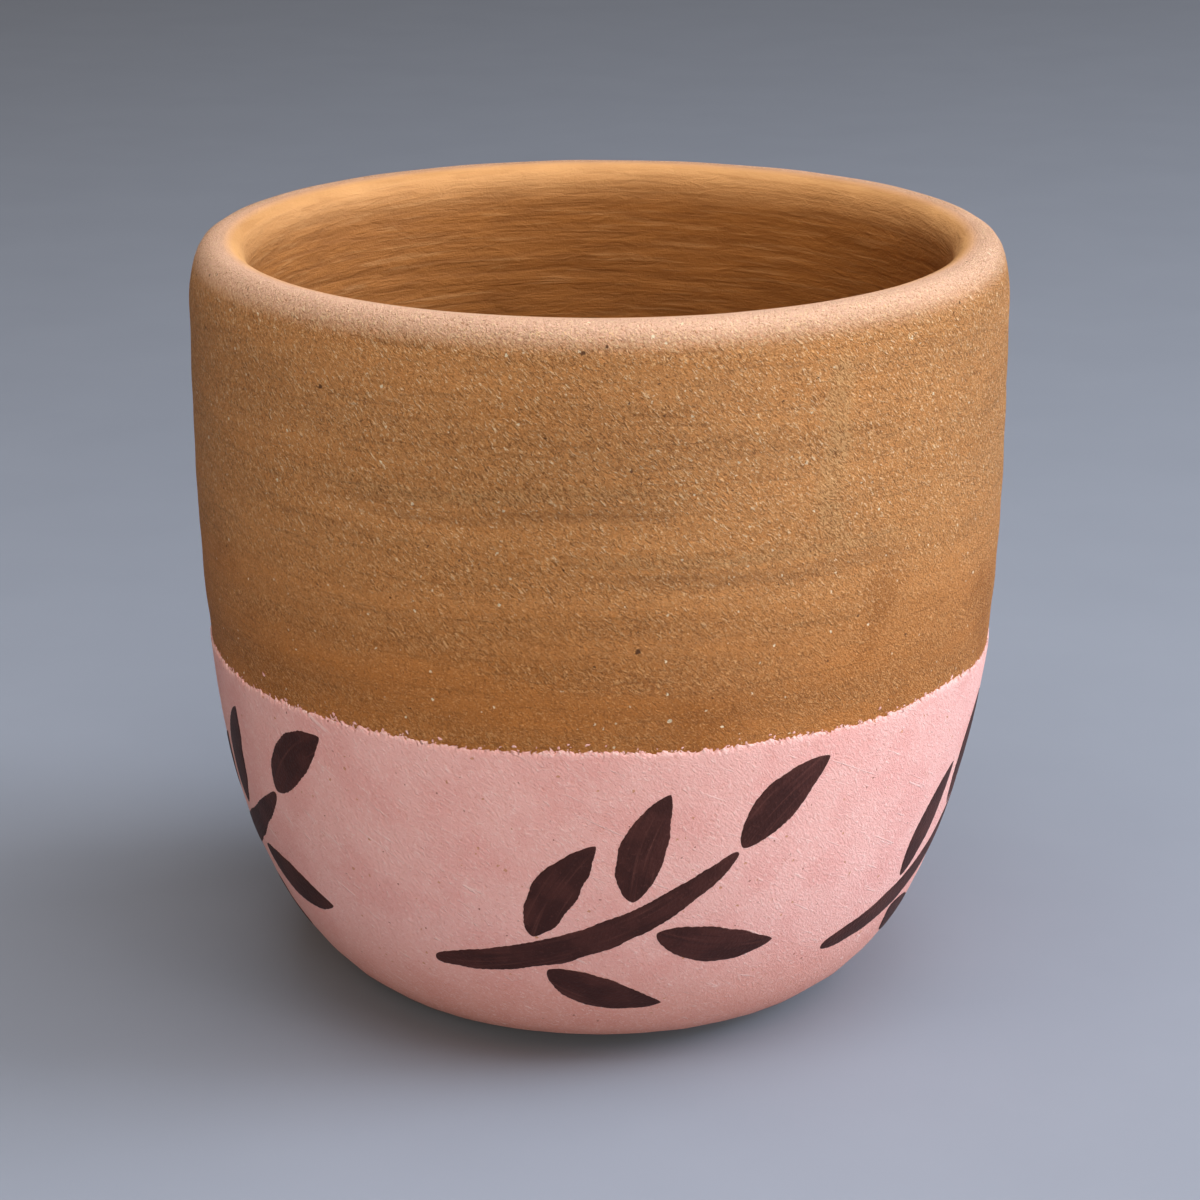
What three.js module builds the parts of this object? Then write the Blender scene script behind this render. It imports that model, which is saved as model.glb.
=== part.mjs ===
// A handleless clay cup: a body thrown in one piece, a coat of pink slip on its lower half, and leaf sprigs painted
// on the coat in dark slip, one solid for each stroke of the brush.
// Millimetres, +Z up. The cup stands on the XY plane with its axis on Z, and its front faces -Y.
import * as THREE from "three";
import { ParametricGeometry } from "three/addons/geometries/ParametricGeometry.js";

// Thrown body
const HEIGHT = 85.5;
const WIDEST_DIAMETER = 90.2;
const SHOULDER_HEIGHT = 15.5; // from the widest circle up to the crest of the lip
const FOOT_DIAMETER = 40; // the flat that the cup stands on
const WALL_THICKNESS = 6.4; // at the widest circle and above it
const FLOOR_THICKNESS = 7.5;
const LIP_DEPTH = 4; // height of the rounding on the inner side of the lip
const CREST_SHARE = 0.42; // how far the crest of the lip lies in from the outside, as a share of the wall

// Fullness of the curves: superellipse exponents, where 2 and 2 give an ellipse and more gives a squarer corner
const BELLY_FULLNESS = { across: 2.3, up: 2.65 };
const SHOULDER_FULLNESS = { across: 2, up: 6.4 };
const LIP_FULLNESS = { across: 3, up: 3 };

// Pink slip coat on the lower half
const SLIP_LINE_HEIGHT = 40.6; // its upper edge
const SLIP_START_HEIGHT = 1; // its lower edge, which stays clear of the table
const SLIP_THICKNESS = 0.3;
const LAYER_GAP = 0.05; // between the clay and its coat, and between the coat and the strokes

// Painted sprigs: a bowed stem, leaves in pairs along it and one leaf at its tip
const SPRIG_COUNT = 5;
const FRONT = -90; // degrees round from +X to the front of the cup
const SPRIG_TURN = 5; // degrees from the front of the cup round to the middle of the first sprig
const SPRIG_GAP = 6.3; // bare stretch round the cup between one sprig and the next
const SPRIG_DROP = 17; // along the wall from the slip line down to the middle of a sprig
const STEM_WIDTH = 3.8;
const STEM_LEAN = 25; // degrees that the stem rises from the level
const STEM_BOW = 3; // how far the middle of the stem hangs below its chord
const LEAF_PAIRS = ["upper", "lower"];
const LEAF_SPACING = 12; // along the stem, from its tip to the first pair and on to the next
const LEAF_LENGTH = 13.5;
const LEAF_WIDTH = 5;
const LEAF_ANGLE = 44; // degrees between a leaf and its stem
const LEAF_BOW = 0.9; // how far the middle of a leaf bows away from its stem
const STROKE_GAP = 0.7; // bare slip between the stem and the start of a leaf
const STROKE_THICKNESS = 0.3;

// Outline of a stroke: where along it the brush presses hardest, and how blunt its ends are
const STEM_OUTLINE = { lead: 0.8, blunt: 0.42 };
const LEAF_OUTLINE = { lead: 0.85, blunt: 0.72 };

// Free-hand painting: the most that a sprig departs from its place and its lean
const DRIFT_UP = 1;
const DRIFT_AROUND = 1.5;
const DRIFT_ANGLE = 4; // degrees
const SPRIG_PHASE = 2.4; // radians of a slow wave from one sprig to the next
const HABIT_PHASE = 1.7; // radians of that wave from one habit of the hand to the next

// Facets
const ROUND_STEPS = 60;
const HEEL_STEPS = 3;
const BAND_STEPS = 12;
const SIDE_STEPS = 6;
const SHOULDER_STEPS = 8;
const LIP_STEPS = 6;
const INSIDE_STEPS = 14;
const STEM_STEPS = 14;
const LEAF_STEPS = 8;
const STROKE_SIDES = 6;

// Places that follow from the sizes above
const WIDEST_RADIUS = WIDEST_DIAMETER / 2;
const FOOT_RADIUS = FOOT_DIAMETER / 2;
const WIDEST_HEIGHT = HEIGHT - SHOULDER_HEIGHT;
const MOUTH_RADIUS = WIDEST_RADIUS - WALL_THICKNESS;
const CREST_RADIUS = WIDEST_RADIUS - CREST_SHARE * WALL_THICKNESS;
const COAT_FACE = LAYER_GAP + SLIP_THICKNESS; // outer face of the coat, measured out from the clay
const STROKE_FACE = COAT_FACE + LAYER_GAP; // back of a stroke, measured out from the clay

const FIRED_CLAY = new THREE.MeshStandardMaterial({ color: 0xa9773f, roughness: 0.85, metalness: 0 });
const PINK_SLIP = new THREE.MeshStandardMaterial({ color: 0xdca7a0, roughness: 0.7, metalness: 0 });
const DARK_SLIP = new THREE.MeshStandardMaterial({ color: 0x42241f, roughness: 0.6, metalness: 0 });

// A quarter of a superellipse in the plane of radius and height. It leaves `level` going level and reaches `upright`
// going straight up or down: radius = sine to the power 2/across and height = cosine to the power 2/up, each
// stretched between the two ends.
class QuarterCurve extends THREE.Curve {
  constructor(level, upright, fullness, first = 0, last = 1) {
    super();
    Object.assign(this, { level, upright, fullness, first, last });
  }

  getPoint(share, target = new THREE.Vector2()) {
    const angle = THREE.MathUtils.lerp(this.first, this.last, share) * (Math.PI / 2);
    const across = Math.sin(angle) ** (2 / this.fullness.across);
    const up = Math.max(0, Math.cos(angle)) ** (2 / this.fullness.up);
    return target.set(
      THREE.MathUtils.lerp(this.level.x, this.upright.x, across),
      THREE.MathUtils.lerp(this.upright.y, this.level.y, up),
    );
  }

  // The share of the quarter at which the curve stands at a height.
  shareAt(height) {
    const up = (this.upright.y - height) / (this.upright.y - this.level.y);
    return Math.acos(up ** (this.fullness.up / 2)) / (Math.PI / 2);
  }

  // The stretch of the same curve between two heights.
  between(low, high) {
    return new QuarterCurve(this.level, this.upright, this.fullness, this.shareAt(low), this.shareAt(high));
  }

  // A point a distance out from the curve, square to it, at a share of the curve's length.
  outFrom(share, distance) {
    const along = this.getTangentAt(share);
    return this.getPointAt(share).add(new THREE.Vector2(along.y, -along.x).multiplyScalar(distance));
  }
}

const crest = new THREE.Vector2(CREST_RADIUS, HEIGHT);
const widest = new THREE.Vector2(WIDEST_RADIUS, WIDEST_HEIGHT);
const mouth = new THREE.Vector2(MOUTH_RADIUS, HEIGHT - LIP_DEPTH);
const insideWidest = new THREE.Vector2(MOUTH_RADIUS, WIDEST_HEIGHT);

const belly = new QuarterCurve(new THREE.Vector2(FOOT_RADIUS, 0), widest, BELLY_FULLNESS);
const shoulder = new QuarterCurve(crest, widest, SHOULDER_FULLNESS);
const lip = new QuarterCurve(crest, mouth, LIP_FULLNESS);
const inside = new QuarterCurve(new THREE.Vector2(FOOT_RADIUS, FLOOR_THICKNESS), insideWidest, BELLY_FULLNESS);

// The three stretches of the belly: below the coat, under it and above it
const heel = belly.between(0, SLIP_START_HEIGHT);
const band = belly.between(SLIP_START_HEIGHT, SLIP_LINE_HEIGHT);
const side = belly.between(SLIP_LINE_HEIGHT, WIDEST_HEIGHT);
const bandLength = band.getLength();

// Evenly spaced sprigs, whose stems are as long as their part of the way round allows
const sprigRadius = band.getPointAt(1 - SPRIG_DROP / bandLength).x;
const sprigPitch = (2 * Math.PI * sprigRadius) / SPRIG_COUNT;
const sprigLength = (sprigPitch - SPRIG_GAP) / Math.cos(THREE.MathUtils.degToRad(STEM_LEAN));
const stemLength = sprigLength - STROKE_GAP - LEAF_LENGTH; // the tip leaf ends the sprig

// A profile of radius and height turned round Z.
function turned(profile) {
  return new THREE.LatheGeometry(profile, ROUND_STEPS).rotateX(Math.PI / 2);
}

// The wall from the foot up the outside, over the lip and down the inside to the floor.
function bodyGeometry() {
  return turned([
    new THREE.Vector2(0, 0),
    ...heel.getSpacedPoints(HEEL_STEPS),
    ...band.getSpacedPoints(BAND_STEPS).slice(1),
    ...side.getSpacedPoints(SIDE_STEPS).slice(1),
    ...shoulder.getSpacedPoints(SHOULDER_STEPS).reverse().slice(1),
    ...lip.getSpacedPoints(LIP_STEPS).slice(1),
    ...inside.getSpacedPoints(INSIDE_STEPS).reverse(),
    new THREE.Vector2(0, FLOOR_THICKNESS),
  ]);
}

// A thin shell: up its face, and down its back, whose facets run along those of the clay.
function coatGeometry() {
  const shares = Array.from({ length: BAND_STEPS + 1 }, (_, step) => step / BAND_STEPS);
  const back = shares.map((share) => band.outFrom(share, LAYER_GAP));
  const face = shares.map((share) => band.outFrom(share, COAT_FACE));
  return turned([...face, ...back.reverse(), face[0]]);
}

// A stroke of the brush along a path drawn flat in millimetres, x to the right round the cup and y up the band from
// its lower edge, laid on the coat with x = 0 at an angle round the cup. Its back follows the coat, its top is domed,
// and its width and its height swell as a sine between its two pointed ends.
function strokeGeometry(path, width, outline, steps, angle) {
  const paint = (around, along, target) => {
    const swell = Math.sin(Math.PI * along ** outline.lead) ** outline.blunt;
    const turn = around * 2 * Math.PI;
    const aside = (Math.cos(turn) * swell * width) / 2;
    const rise = Math.max(0, Math.sin(turn)) * swell * STROKE_THICKNESS;
    const middle = path.getPoint(along);
    const heading = path.getTangent(along);
    const share = (middle.y + heading.x * aside) / bandLength;
    const reach = angle + (middle.x - heading.y * aside) / band.getPointAt(share).x;
    const wall = band.outFrom(share, STROKE_FACE + rise);
    target.set(wall.x * Math.cos(reach), wall.x * Math.sin(reach), wall.y);
  };
  return new ParametricGeometry(paint, STROKE_SIDES, steps);
}

// A bowed path from a start, of a length along a direction, whose middle bows to the left of that direction.
function bowedPath(start, direction, length, bow) {
  const left = new THREE.Vector2(-direction.y, direction.x);
  const end = start.clone().addScaledVector(direction, length);
  const pull = start.clone().addScaledVector(direction, length / 2).addScaledVector(left, 2 * bow);
  return new THREE.QuadraticBezierCurve(start, pull, end);
}

// A number from -1 to 1 for one habit of the hand on one sprig.
function drift(sprig, habit) {
  return Math.sin(SPRIG_PHASE * sprig + HABIT_PHASE * habit);
}

// The strokes of one sprig, each with its name and its geometry.
function sprigStrokes(sprig) {
  const angle = THREE.MathUtils.degToRad(FRONT + SPRIG_TURN + (360 / SPRIG_COUNT) * sprig);
  const lean = THREE.MathUtils.degToRad(STEM_LEAN + DRIFT_ANGLE * drift(sprig, 0));
  const direction = new THREE.Vector2(Math.cos(lean), Math.sin(lean));
  const height = bandLength - SPRIG_DROP + DRIFT_UP * drift(sprig, 2);
  const middle = new THREE.Vector2(DRIFT_AROUND * drift(sprig, 1), height);
  const start = middle.addScaledVector(direction, -sprigLength / 2);
  const stem = bowedPath(start, direction, stemLength, -STEM_BOW);
  const leaf = (from, heading, bow) =>
    strokeGeometry(bowedPath(from, heading, LEAF_LENGTH, bow), LEAF_WIDTH, LEAF_OUTLINE, LEAF_STEPS, angle);

  const tip = stem.getTangentAt(1);
  const strokes = [
    ["stem", strokeGeometry(stem, STEM_WIDTH, STEM_OUTLINE, STEM_STEPS, angle)],
    ["tip_leaf", leaf(stem.getPointAt(1).addScaledVector(tip, STROKE_GAP), tip, LEAF_BOW)],
  ];
  LEAF_PAIRS.forEach((pair, place) => {
    const share = 1 - ((place + 1) * LEAF_SPACING) / stem.getLength();
    const along = stem.getTangentAt(share);
    for (const [name, side] of [["left", 1], ["right", -1]]) {
      const aside = new THREE.Vector2(-along.y, along.x).multiplyScalar(side);
      const from = stem.getPointAt(share).addScaledVector(aside, STEM_WIDTH / 2 + STROKE_GAP);
      const heading = along.clone().rotateAround(new THREE.Vector2(), side * THREE.MathUtils.degToRad(LEAF_ANGLE));
      strokes.push([`${pair}_${name}_leaf`, leaf(from, heading, side * LEAF_BOW)]);
    }
  });
  return strokes;
}

const cup = new THREE.Group();

function addPiece(name, geometry, material) {
  const piece = new THREE.Mesh(geometry, material);
  piece.name = name;
  cup.add(piece);
}

addPiece("clay_body", bodyGeometry(), FIRED_CLAY);
addPiece("slip_coat", coatGeometry(), PINK_SLIP);
for (let sprig = 0; sprig < SPRIG_COUNT; sprig += 1) {
  for (const [stroke, geometry] of sprigStrokes(sprig)) {
    addPiece(`sprig_${sprig + 1}_${stroke}`, geometry, DARK_SLIP);
  }
}

export default cup;
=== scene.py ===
"""Looks of a handleless clay cup.

It has a thrown earthenware body, a coat of pink slip and leaf sprigs brushed in dark slip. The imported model
is the frame. Shapes are worked out in millimetres and go into their meshes in metres.
"""

from __future__ import annotations

import logging
import math
from abc import ABC, abstractmethod
from collections.abc import Iterator
from dataclasses import dataclass
from enum import Enum
from functools import cached_property

import bpy
import numpy as np
from bpy.types import Material, Node, NodeSocket, NodeTree, Object
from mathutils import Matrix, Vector


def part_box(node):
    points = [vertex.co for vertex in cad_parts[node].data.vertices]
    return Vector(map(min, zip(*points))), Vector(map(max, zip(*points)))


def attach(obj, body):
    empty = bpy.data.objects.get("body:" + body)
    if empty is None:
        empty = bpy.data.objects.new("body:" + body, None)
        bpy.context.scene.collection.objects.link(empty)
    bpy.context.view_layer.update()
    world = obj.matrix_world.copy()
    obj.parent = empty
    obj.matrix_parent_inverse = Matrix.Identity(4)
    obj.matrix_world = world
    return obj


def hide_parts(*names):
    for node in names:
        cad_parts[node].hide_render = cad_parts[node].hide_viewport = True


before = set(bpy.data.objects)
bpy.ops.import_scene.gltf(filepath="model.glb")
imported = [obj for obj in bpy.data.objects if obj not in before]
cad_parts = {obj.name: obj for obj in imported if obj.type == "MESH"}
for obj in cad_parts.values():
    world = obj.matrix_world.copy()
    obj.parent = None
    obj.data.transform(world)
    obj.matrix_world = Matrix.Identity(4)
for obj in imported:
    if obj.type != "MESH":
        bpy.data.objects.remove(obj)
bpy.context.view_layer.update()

Array = np.ndarray
Span = tuple[float, float]
Triples = tuple[tuple[float, float, float], ...]
LOG = logging.getLogger("clay_cup")
MM = 0.001  # metres in a millimetre
TAU = 2 * math.pi
BODY = "root"  # the one body that every piece rides on
# Single marks on the bare clay: angle in degrees, height and half width in millimetres
DARK_POCKS = ((-128.8, 77.0, 0.34), (-85.0, 51.8, 0.34), (-92.0, 82.7, 0.26), (-89.1, 83.4, 0.22))
PALE_CHIPS = ((-80.7, 44.0, 0.28),)


class Slot(Enum):
    """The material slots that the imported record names."""

    FIRED_CLAY = "fired_clay"
    PINK_SLIP = "pink_slip"
    DARK_SLIP = "dark_slip"


class Ends(Enum):
    """How the first and the last ring of a row of rings are closed."""

    POLES = "each end runs into one point"
    JOINED = "the last ring runs into the first"


class Side(Enum):
    """The side of a stem that a leaf stands on, as a turn to the left of the stem's heading."""

    LEFT = 1
    RIGHT = -1


class Habit(Enum):
    """What drifts in the painter's hand from one sprig to the next."""

    LEAN = 0
    AROUND = 1
    UP = 2


def linear(colour: str) -> tuple[float, float, float, float]:
    """Turns an sRGB colour into the linear one that a shader socket takes.

    Args:
        colour: a hex colour, such as "#b98550".

    Returns:
        Linear red, green and blue, and an alpha of one.
    """
    levels = np.array([int(colour[place : place + 2], 16) for place in (1, 3, 5)]) / 255
    curve = np.where(levels <= 0.04045, levels / 12.92, ((levels + 0.055) / 1.055) ** 2.4)
    return (*curve.tolist(), 1.0)


def per(size: float) -> float:
    """Gives the texture scale at which one cell of a pattern is a size in millimetres across."""
    return 1 / (size * MM)


def turn_round(sides: int) -> Array:
    """Gives angles spaced evenly over one turn."""
    return np.arange(sides) * TAU / sides


def smooth(values: Array, low: float, high: float) -> Array:
    """Rises from 0 at low to 1 at high along an even S, as 3 t squared less 2 t cubed.

    Args:
        values: the numbers to map.
        low: where the rise starts.
        high: where it ends, which may be below low for a fall.

    Returns:
        Numbers from 0 to 1 in the shape of values.
    """
    share = np.clip((values - low) / (high - low), 0, 1)
    return share * share * (3 - 2 * share)


def add_node(tree: NodeTree, kind: str, inputs: dict | None = None, **settings: object) -> Node:
    """Adds one shader node, sets it and links it.

    Args:
        tree: the node tree of a material or of the world.
        kind: the node's type, after its ShaderNode prefix.
        inputs: for each socket's name or place, the value it holds, or the socket or node that feeds it.
        settings: the node's own properties.

    Returns:
        The new node.
    """
    node = tree.nodes.new("ShaderNode" + kind)
    for name, value in settings.items():
        setattr(node, name, value)
    for key, source in (inputs or {}).items():
        live = [socket for socket in node.inputs if socket.enabled and socket.name == key]
        socket = live[0] if live else node.inputs[key]
        if isinstance(source, Node):
            source = next(output for output in source.outputs if output.enabled)
        if isinstance(source, NodeSocket):
            tree.links.new(source, socket)
        else:
            socket.default_value = source
    return node


def ring_mesh(name: str, rings: Array, ends: Ends, attributes: dict[str, Array] | None = None) -> Object:
    """Makes a mesh from one or more rows of rings, with four-sided faces between neighbouring rings.

    Args:
        name: the piece's name.
        rings: points in millimetres, as rings by points on a ring by three, or as several such rows. The
            faces point to where the way round a ring, crossed with the way from ring to ring, points.
        ends: how the first and the last ring of a row are closed.
        attributes: numbers or triplets for each point of the rings, by name.

    Returns:
        The new object, at the origin.
    """
    row_count, ring_count, sides, _ = (1, *rings.shape)[-4:]
    places = np.arange(row_count * ring_count * sides).reshape(row_count, ring_count, sides)
    closing = [] if ends is Ends.POLES else [places[:, :1]]
    here = np.concatenate([places, *closing], axis=1)
    ahead = np.roll(here, -1, axis=2)
    quads = np.stack([here[:, :-1], ahead[:, :-1], ahead[:, 1:], here[:, 1:]], axis=-1).reshape(-1, 4)
    fans = np.empty((0, 3), int)
    if ends is Ends.POLES:
        poles = places.size + np.arange(2 * row_count).reshape(2, row_count, 1) + 0 * places[0, 0]
        start = np.stack([poles[0], ahead[:, 0], here[:, 0]], axis=-1)
        finish = np.stack([poles[1], here[:, -1], ahead[:, -1]], axis=-1)
        fans = np.stack([start, finish]).reshape(-1, 3)

    def at_points(values: Array) -> Array:
        """Gives the values of the points, and after them the means of the end rings for the poles."""
        values = values.reshape(row_count, ring_count, sides, -1)
        means = [values[:, 0].mean(1), values[:, -1].mean(1)] if ends is Ends.POLES else []
        return np.concatenate([values.reshape(places.size, -1), *means])

    points = at_points(rings)
    mesh = bpy.data.meshes.new(name)
    mesh.vertices.add(len(points))
    mesh.vertices.foreach_set("co", (points * MM).ravel())
    mesh.loops.add(quads.size + fans.size)
    mesh.loops.foreach_set("vertex_index", np.concatenate([quads.ravel(), fans.ravel()]))
    mesh.polygons.add(len(quads) + len(fans))
    starts = np.concatenate([np.arange(len(quads)) * 4, quads.size + np.arange(len(fans)) * 3])
    mesh.polygons.foreach_set("loop_start", starts)
    mesh.update(calc_edges=True)
    mesh.polygons.foreach_set("use_smooth", np.ones(len(mesh.polygons), bool))
    for label, values in (attributes or {}).items():
        flat = at_points(values)
        kind, field = ("FLOAT", "value") if flat.shape[1] == 1 else ("FLOAT_VECTOR", "vector")
        mesh.attributes.new(label, kind, "POINT").data.foreach_set(field, flat.ravel())
    piece = bpy.data.objects.new(name, mesh)
    bpy.context.scene.collection.objects.link(piece)
    return piece


def show(piece: Object, material: Material, slot: Slot, *nodes: str) -> None:
    """Dresses a piece and sets it in the frame.

    Args:
        piece: the new object.
        material: its finish.
        slot: the slot of the record that the finish stands for; not used.
        nodes: the CAD nodes that the piece stands for.
    """
    piece.data.materials.append(material)
    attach(piece, BODY)
    if nodes:
        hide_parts(*nodes)
    triangles = len(piece.data.loops) - 2 * len(piece.data.polygons)
    LOG.info("%s: %d triangles of %s", piece.name, triangles, material.name)


@dataclass(frozen=True)
class Waves:
    """Unevenness left by a hand: a sum of waves round and up the cup, with seeded slants and phases.

    Attributes:
        seed: where the chosen waves start from.
        turns: the fewest and the most waves in one turn round the cup.
        lengths: the shortest and the longest wave up the wall, in millimetres.
        count: how many waves are summed.
        sink: how far dents lie below the waves, in spreads.
    """

    seed: int
    turns: tuple[int, int]
    lengths: Span
    count: int = 24
    sink: float = 2.0

    def at(self, angle: Array | float, height: Array | float) -> Array:
        """Sums cosines of turns times the angle plus the height over a length, each with its own phase.

        Args:
            angle: the angle round the cup, in radians.
            height: the way up the wall, in millimetres.

        Returns:
            Numbers about 0 with a spread of 1.
        """
        random = np.random.default_rng(self.seed)
        turns = random.integers(self.turns[0], self.turns[1] + 1, self.count)
        slants = random.choice((-1, 1), self.count)
        lengths = random.uniform(*self.lengths, self.count)
        phases = random.uniform(0, TAU, self.count)
        total = 0
        for turn, slant, length, phase in zip(turns, slants, lengths, phases):
            total = total + np.cos(turn * angle + slant * TAU * height / length + phase)
        return total * math.sqrt(2 / self.count)

    def dents(self, angle: Array | float, height: Array | float) -> Array:
        """Gives the waves sunk so far that they only dent a wall, from minus twice the sink to 0."""
        return np.clip(self.at(angle, height) - self.sink, -2 * self.sink, 0)


@dataclass(frozen=True)
class Quarter:
    """A quarter of a superellipse in radius and height, in millimetres.

    It leaves its level end going level and reaches its upright end going straight up or down: the radius
    follows the sine to the power 2 over across, and the height the cosine to the power 2 over up.
    """

    level: Span
    upright: Span
    across: float
    up: float

    def points(self, first: float = 0, last: float = 1, count: int = 1500) -> Array:
        """Gives points along the quarter.

        Args:
            first: the share of the quarter to start at.
            last: the share to end at.
            count: how many points.

        Returns:
            Radius and height of each point.
        """
        angle = np.linspace(first, last, count) * TAU / 4
        across = np.sin(angle) ** (2 / self.across)
        up = np.clip(np.cos(angle), 0, None) ** (2 / self.up)
        radius = self.level[0] + (self.upright[0] - self.level[0]) * across
        height = self.upright[1] + (self.level[1] - self.upright[1]) * up
        return np.stack([radius, height], axis=-1)

    def share_at(self, height: float) -> float:
        """Gives the share of the quarter at which the curve stands at a height."""
        up = (self.upright[1] - height) / (self.upright[1] - self.level[1])
        return math.acos(up ** (self.up / 2)) * 4 / TAU


@dataclass(frozen=True)
class Profile:
    """A line of radius and height, in millimetres, that is read by the length along it."""

    points: Array

    @cached_property
    def arc(self) -> Array:
        """The length along the line to each of its points."""
        steps = np.hypot(*np.diff(self.points, axis=0).T)
        return np.concatenate([[0], np.cumsum(steps)])

    @cached_property
    def normals(self) -> Array:
        """The direction square to the line at each point, to the right of the way along it."""
        along = np.gradient(self.points, axis=0)
        along /= np.hypot(*along.T)[:, None]
        return np.stack([along[:, 1], -along[:, 0]], axis=-1)

    def at(self, arc: Array, out: Array | float = 0) -> tuple[Array, Array]:
        """Gives the points at lengths along the line, moved out square to it.

        Args:
            arc: lengths along the line.
            out: how far to move out.

        Returns:
            The radii and the heights.
        """
        radius, height = (np.interp(arc, self.arc, axis) for axis in self.points.T)
        aside, rise = (np.interp(arc, self.arc, axis) for axis in self.normals.T)
        return radius + aside * out, height + rise * out


@dataclass(frozen=True)
class Wall:
    """The wall of the cup, which the body, the coat and the brush strokes follow, in millimetres."""

    height: float
    widest_radius: float
    slip_start: float = 1.0
    slip_line: float = 40.6
    shoulder_height: float = 15.5
    foot_radius: float = 20.0
    thickness: float = 6.4
    floor: float = 7.5
    lip_depth: float = 4.0
    crest_share: float = 0.42
    belly_fullness: Span = (2.3, 2.65)
    shoulder_fullness: Span = (2.0, 6.4)
    lip_fullness: Span = (3.0, 3.0)
    unevenness: float = 0.06  # how far the wall wanders in and out
    lean: float = 0.3  # how far the belly stands to the left of the rim
    tilt: float = 0.2  # how far the rim stands higher on the right than on the left

    @classmethod
    def from_frame(cls) -> Wall:
        """Takes the cup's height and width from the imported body."""
        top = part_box("clay_body")[1] / MM
        return cls(height=top.z, widest_radius=top.x)

    @property
    def widest_height(self) -> float:
        """The height of the widest circle."""
        return self.height - self.shoulder_height

    @property
    def mouth_radius(self) -> float:
        """The radius of the inside at the widest circle and above it."""
        return self.widest_radius - self.thickness

    @cached_property
    def belly(self) -> Quarter:
        """The outside, from the foot to the widest circle."""
        widest = (self.widest_radius, self.widest_height)
        return Quarter((self.foot_radius, 0), widest, *self.belly_fullness)

    @cached_property
    def stretches(self) -> dict[str, Array]:
        """The stretches of the outline, in order from the middle of the foot to the middle of the floor."""
        crest = (self.widest_radius - self.crest_share * self.thickness, self.height)
        widest = (self.widest_radius, self.widest_height)
        mouth = (self.mouth_radius, self.height - self.lip_depth)
        inner = (self.mouth_radius, self.widest_height)
        basin = Quarter((self.foot_radius, self.floor), inner, *self.belly_fullness)
        return {
            "foot": np.array([(0, 0), (self.foot_radius, 0)]),
            "belly": self.belly.points(),
            "shoulder": Quarter(crest, widest, *self.shoulder_fullness).points()[::-1],
            "lip": Quarter(crest, mouth, *self.lip_fullness).points(),
            "throat": np.array([mouth, inner]),
            "basin": basin.points()[::-1],
            "floor": np.array([(self.foot_radius, self.floor), (0, self.floor)]),
        }

    @cached_property
    def outline(self) -> Profile:
        """The whole section of the wall."""
        return Profile(np.vstack([[(0, 0)], *(points[1:] for points in self.stretches.values())]))

    @cached_property
    def band(self) -> Profile:
        """The outside from the coat's lower edge up to the widest circle."""
        return Profile(self.belly.points(first=self.belly.share_at(self.slip_start)))

    @cached_property
    def band_length(self) -> float:
        """The way up the wall from the coat's lower edge to the slip line."""
        return float(np.interp(self.slip_line, self.band.points[:, 1], self.band.arc))

    def outside_spots(self, spots: Triples) -> Array:
        """Finds where spots lie on the outside of the wall.

        Args:
            spots: for each spot its angle in degrees, its height and its half width.

        Returns:
            The x, y, z and half width of each spot.
        """
        angle, height, half = np.array(spots).T
        outside = np.vstack([self.stretches["belly"], self.stretches["shoulder"]])
        radius = np.interp(height, outside[:, 1], outside[:, 0])
        return np.column_stack([self.by_hand(radius, np.radians(angle), height), half])

    def by_hand(self, radius: Array, angle: Array, height: Array) -> Array:
        """Moves points of the true turned shape to where the potter's hands left them.

        The radius shrinks by slow waves round and up the wall, the belly moves to the left as a bell over
        its height, and the rim tilts up to the right.

        Args:
            radius: distances from the axis.
            angle: angles round it.
            height: heights above the table.

        Returns:
            Points as x, y and z in a last axis of three.
        """
        wander = Waves(seed=3, turns=(1, 4), lengths=(40, 110), count=10).dents(angle, height) / 2
        radius = radius * (1 + self.unevenness * wander / self.widest_radius)
        belly = np.sin(math.pi * np.clip(height / self.slip_line, 0, 1)) ** 2
        rim = smooth(height, self.slip_line, self.height)
        x = radius * np.cos(angle) - self.lean * belly
        y = radius * np.sin(angle)
        z = height + self.tilt / 2 * rim * (np.cos(angle) * radius / self.widest_radius - 1)
        return np.stack(np.broadcast_arrays(x, y, z), axis=-1)


Pattern = NodeSocket | Node
Limits = tuple[str, float, float]  # a pattern's name, its value where it starts and where it is full
Where = tuple[Limits, ...]
UPPER_WALL: Limits = ("height", 46 * MM, 68 * MM)
WITHIN: Limits = ("inside", 0, 1)
PATTERN_MIDDLE = 0.5  # of a pattern that runs from 0 to 1
FAR_AWAY = 100.0  # half widths, farther than any spot


@dataclass(frozen=True)
class Tint:
    """A colour that lies over the ground where all its patterns are full."""

    colour: str
    most: float  # how much of what lies below it hides
    where: Where


@dataclass(frozen=True)
class Relief:
    """A pattern that stands up above its middle and sinks below it, where all the others are full."""

    height: float  # millimetres from the pattern's 0 to its 1
    pattern: str
    where: Where = ()


def add_mask(tree: NodeTree, patterns: dict[str, Pattern], where: Where, most: float) -> Pattern:
    """Adds nodes that multiply patterns, each mapped from where it starts to where it is full.

    Args:
        tree: the material's node tree.
        patterns: the patterns of the finish, by name.
        where: the patterns to multiply and their limits.
        most: the value where all of them are full.

    Returns:
        A value from 0 to most.
    """
    mask = most
    for name, start, full in where:
        limits = {"Value": patterns[name], "From Min": start, "From Max": full}
        part = add_node(tree, "MapRange", limits, interpolation_type="SMOOTHSTEP")
        mask = add_node(tree, "Math", {0: part, 1: mask}, operation="MULTIPLY")
    return mask


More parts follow.
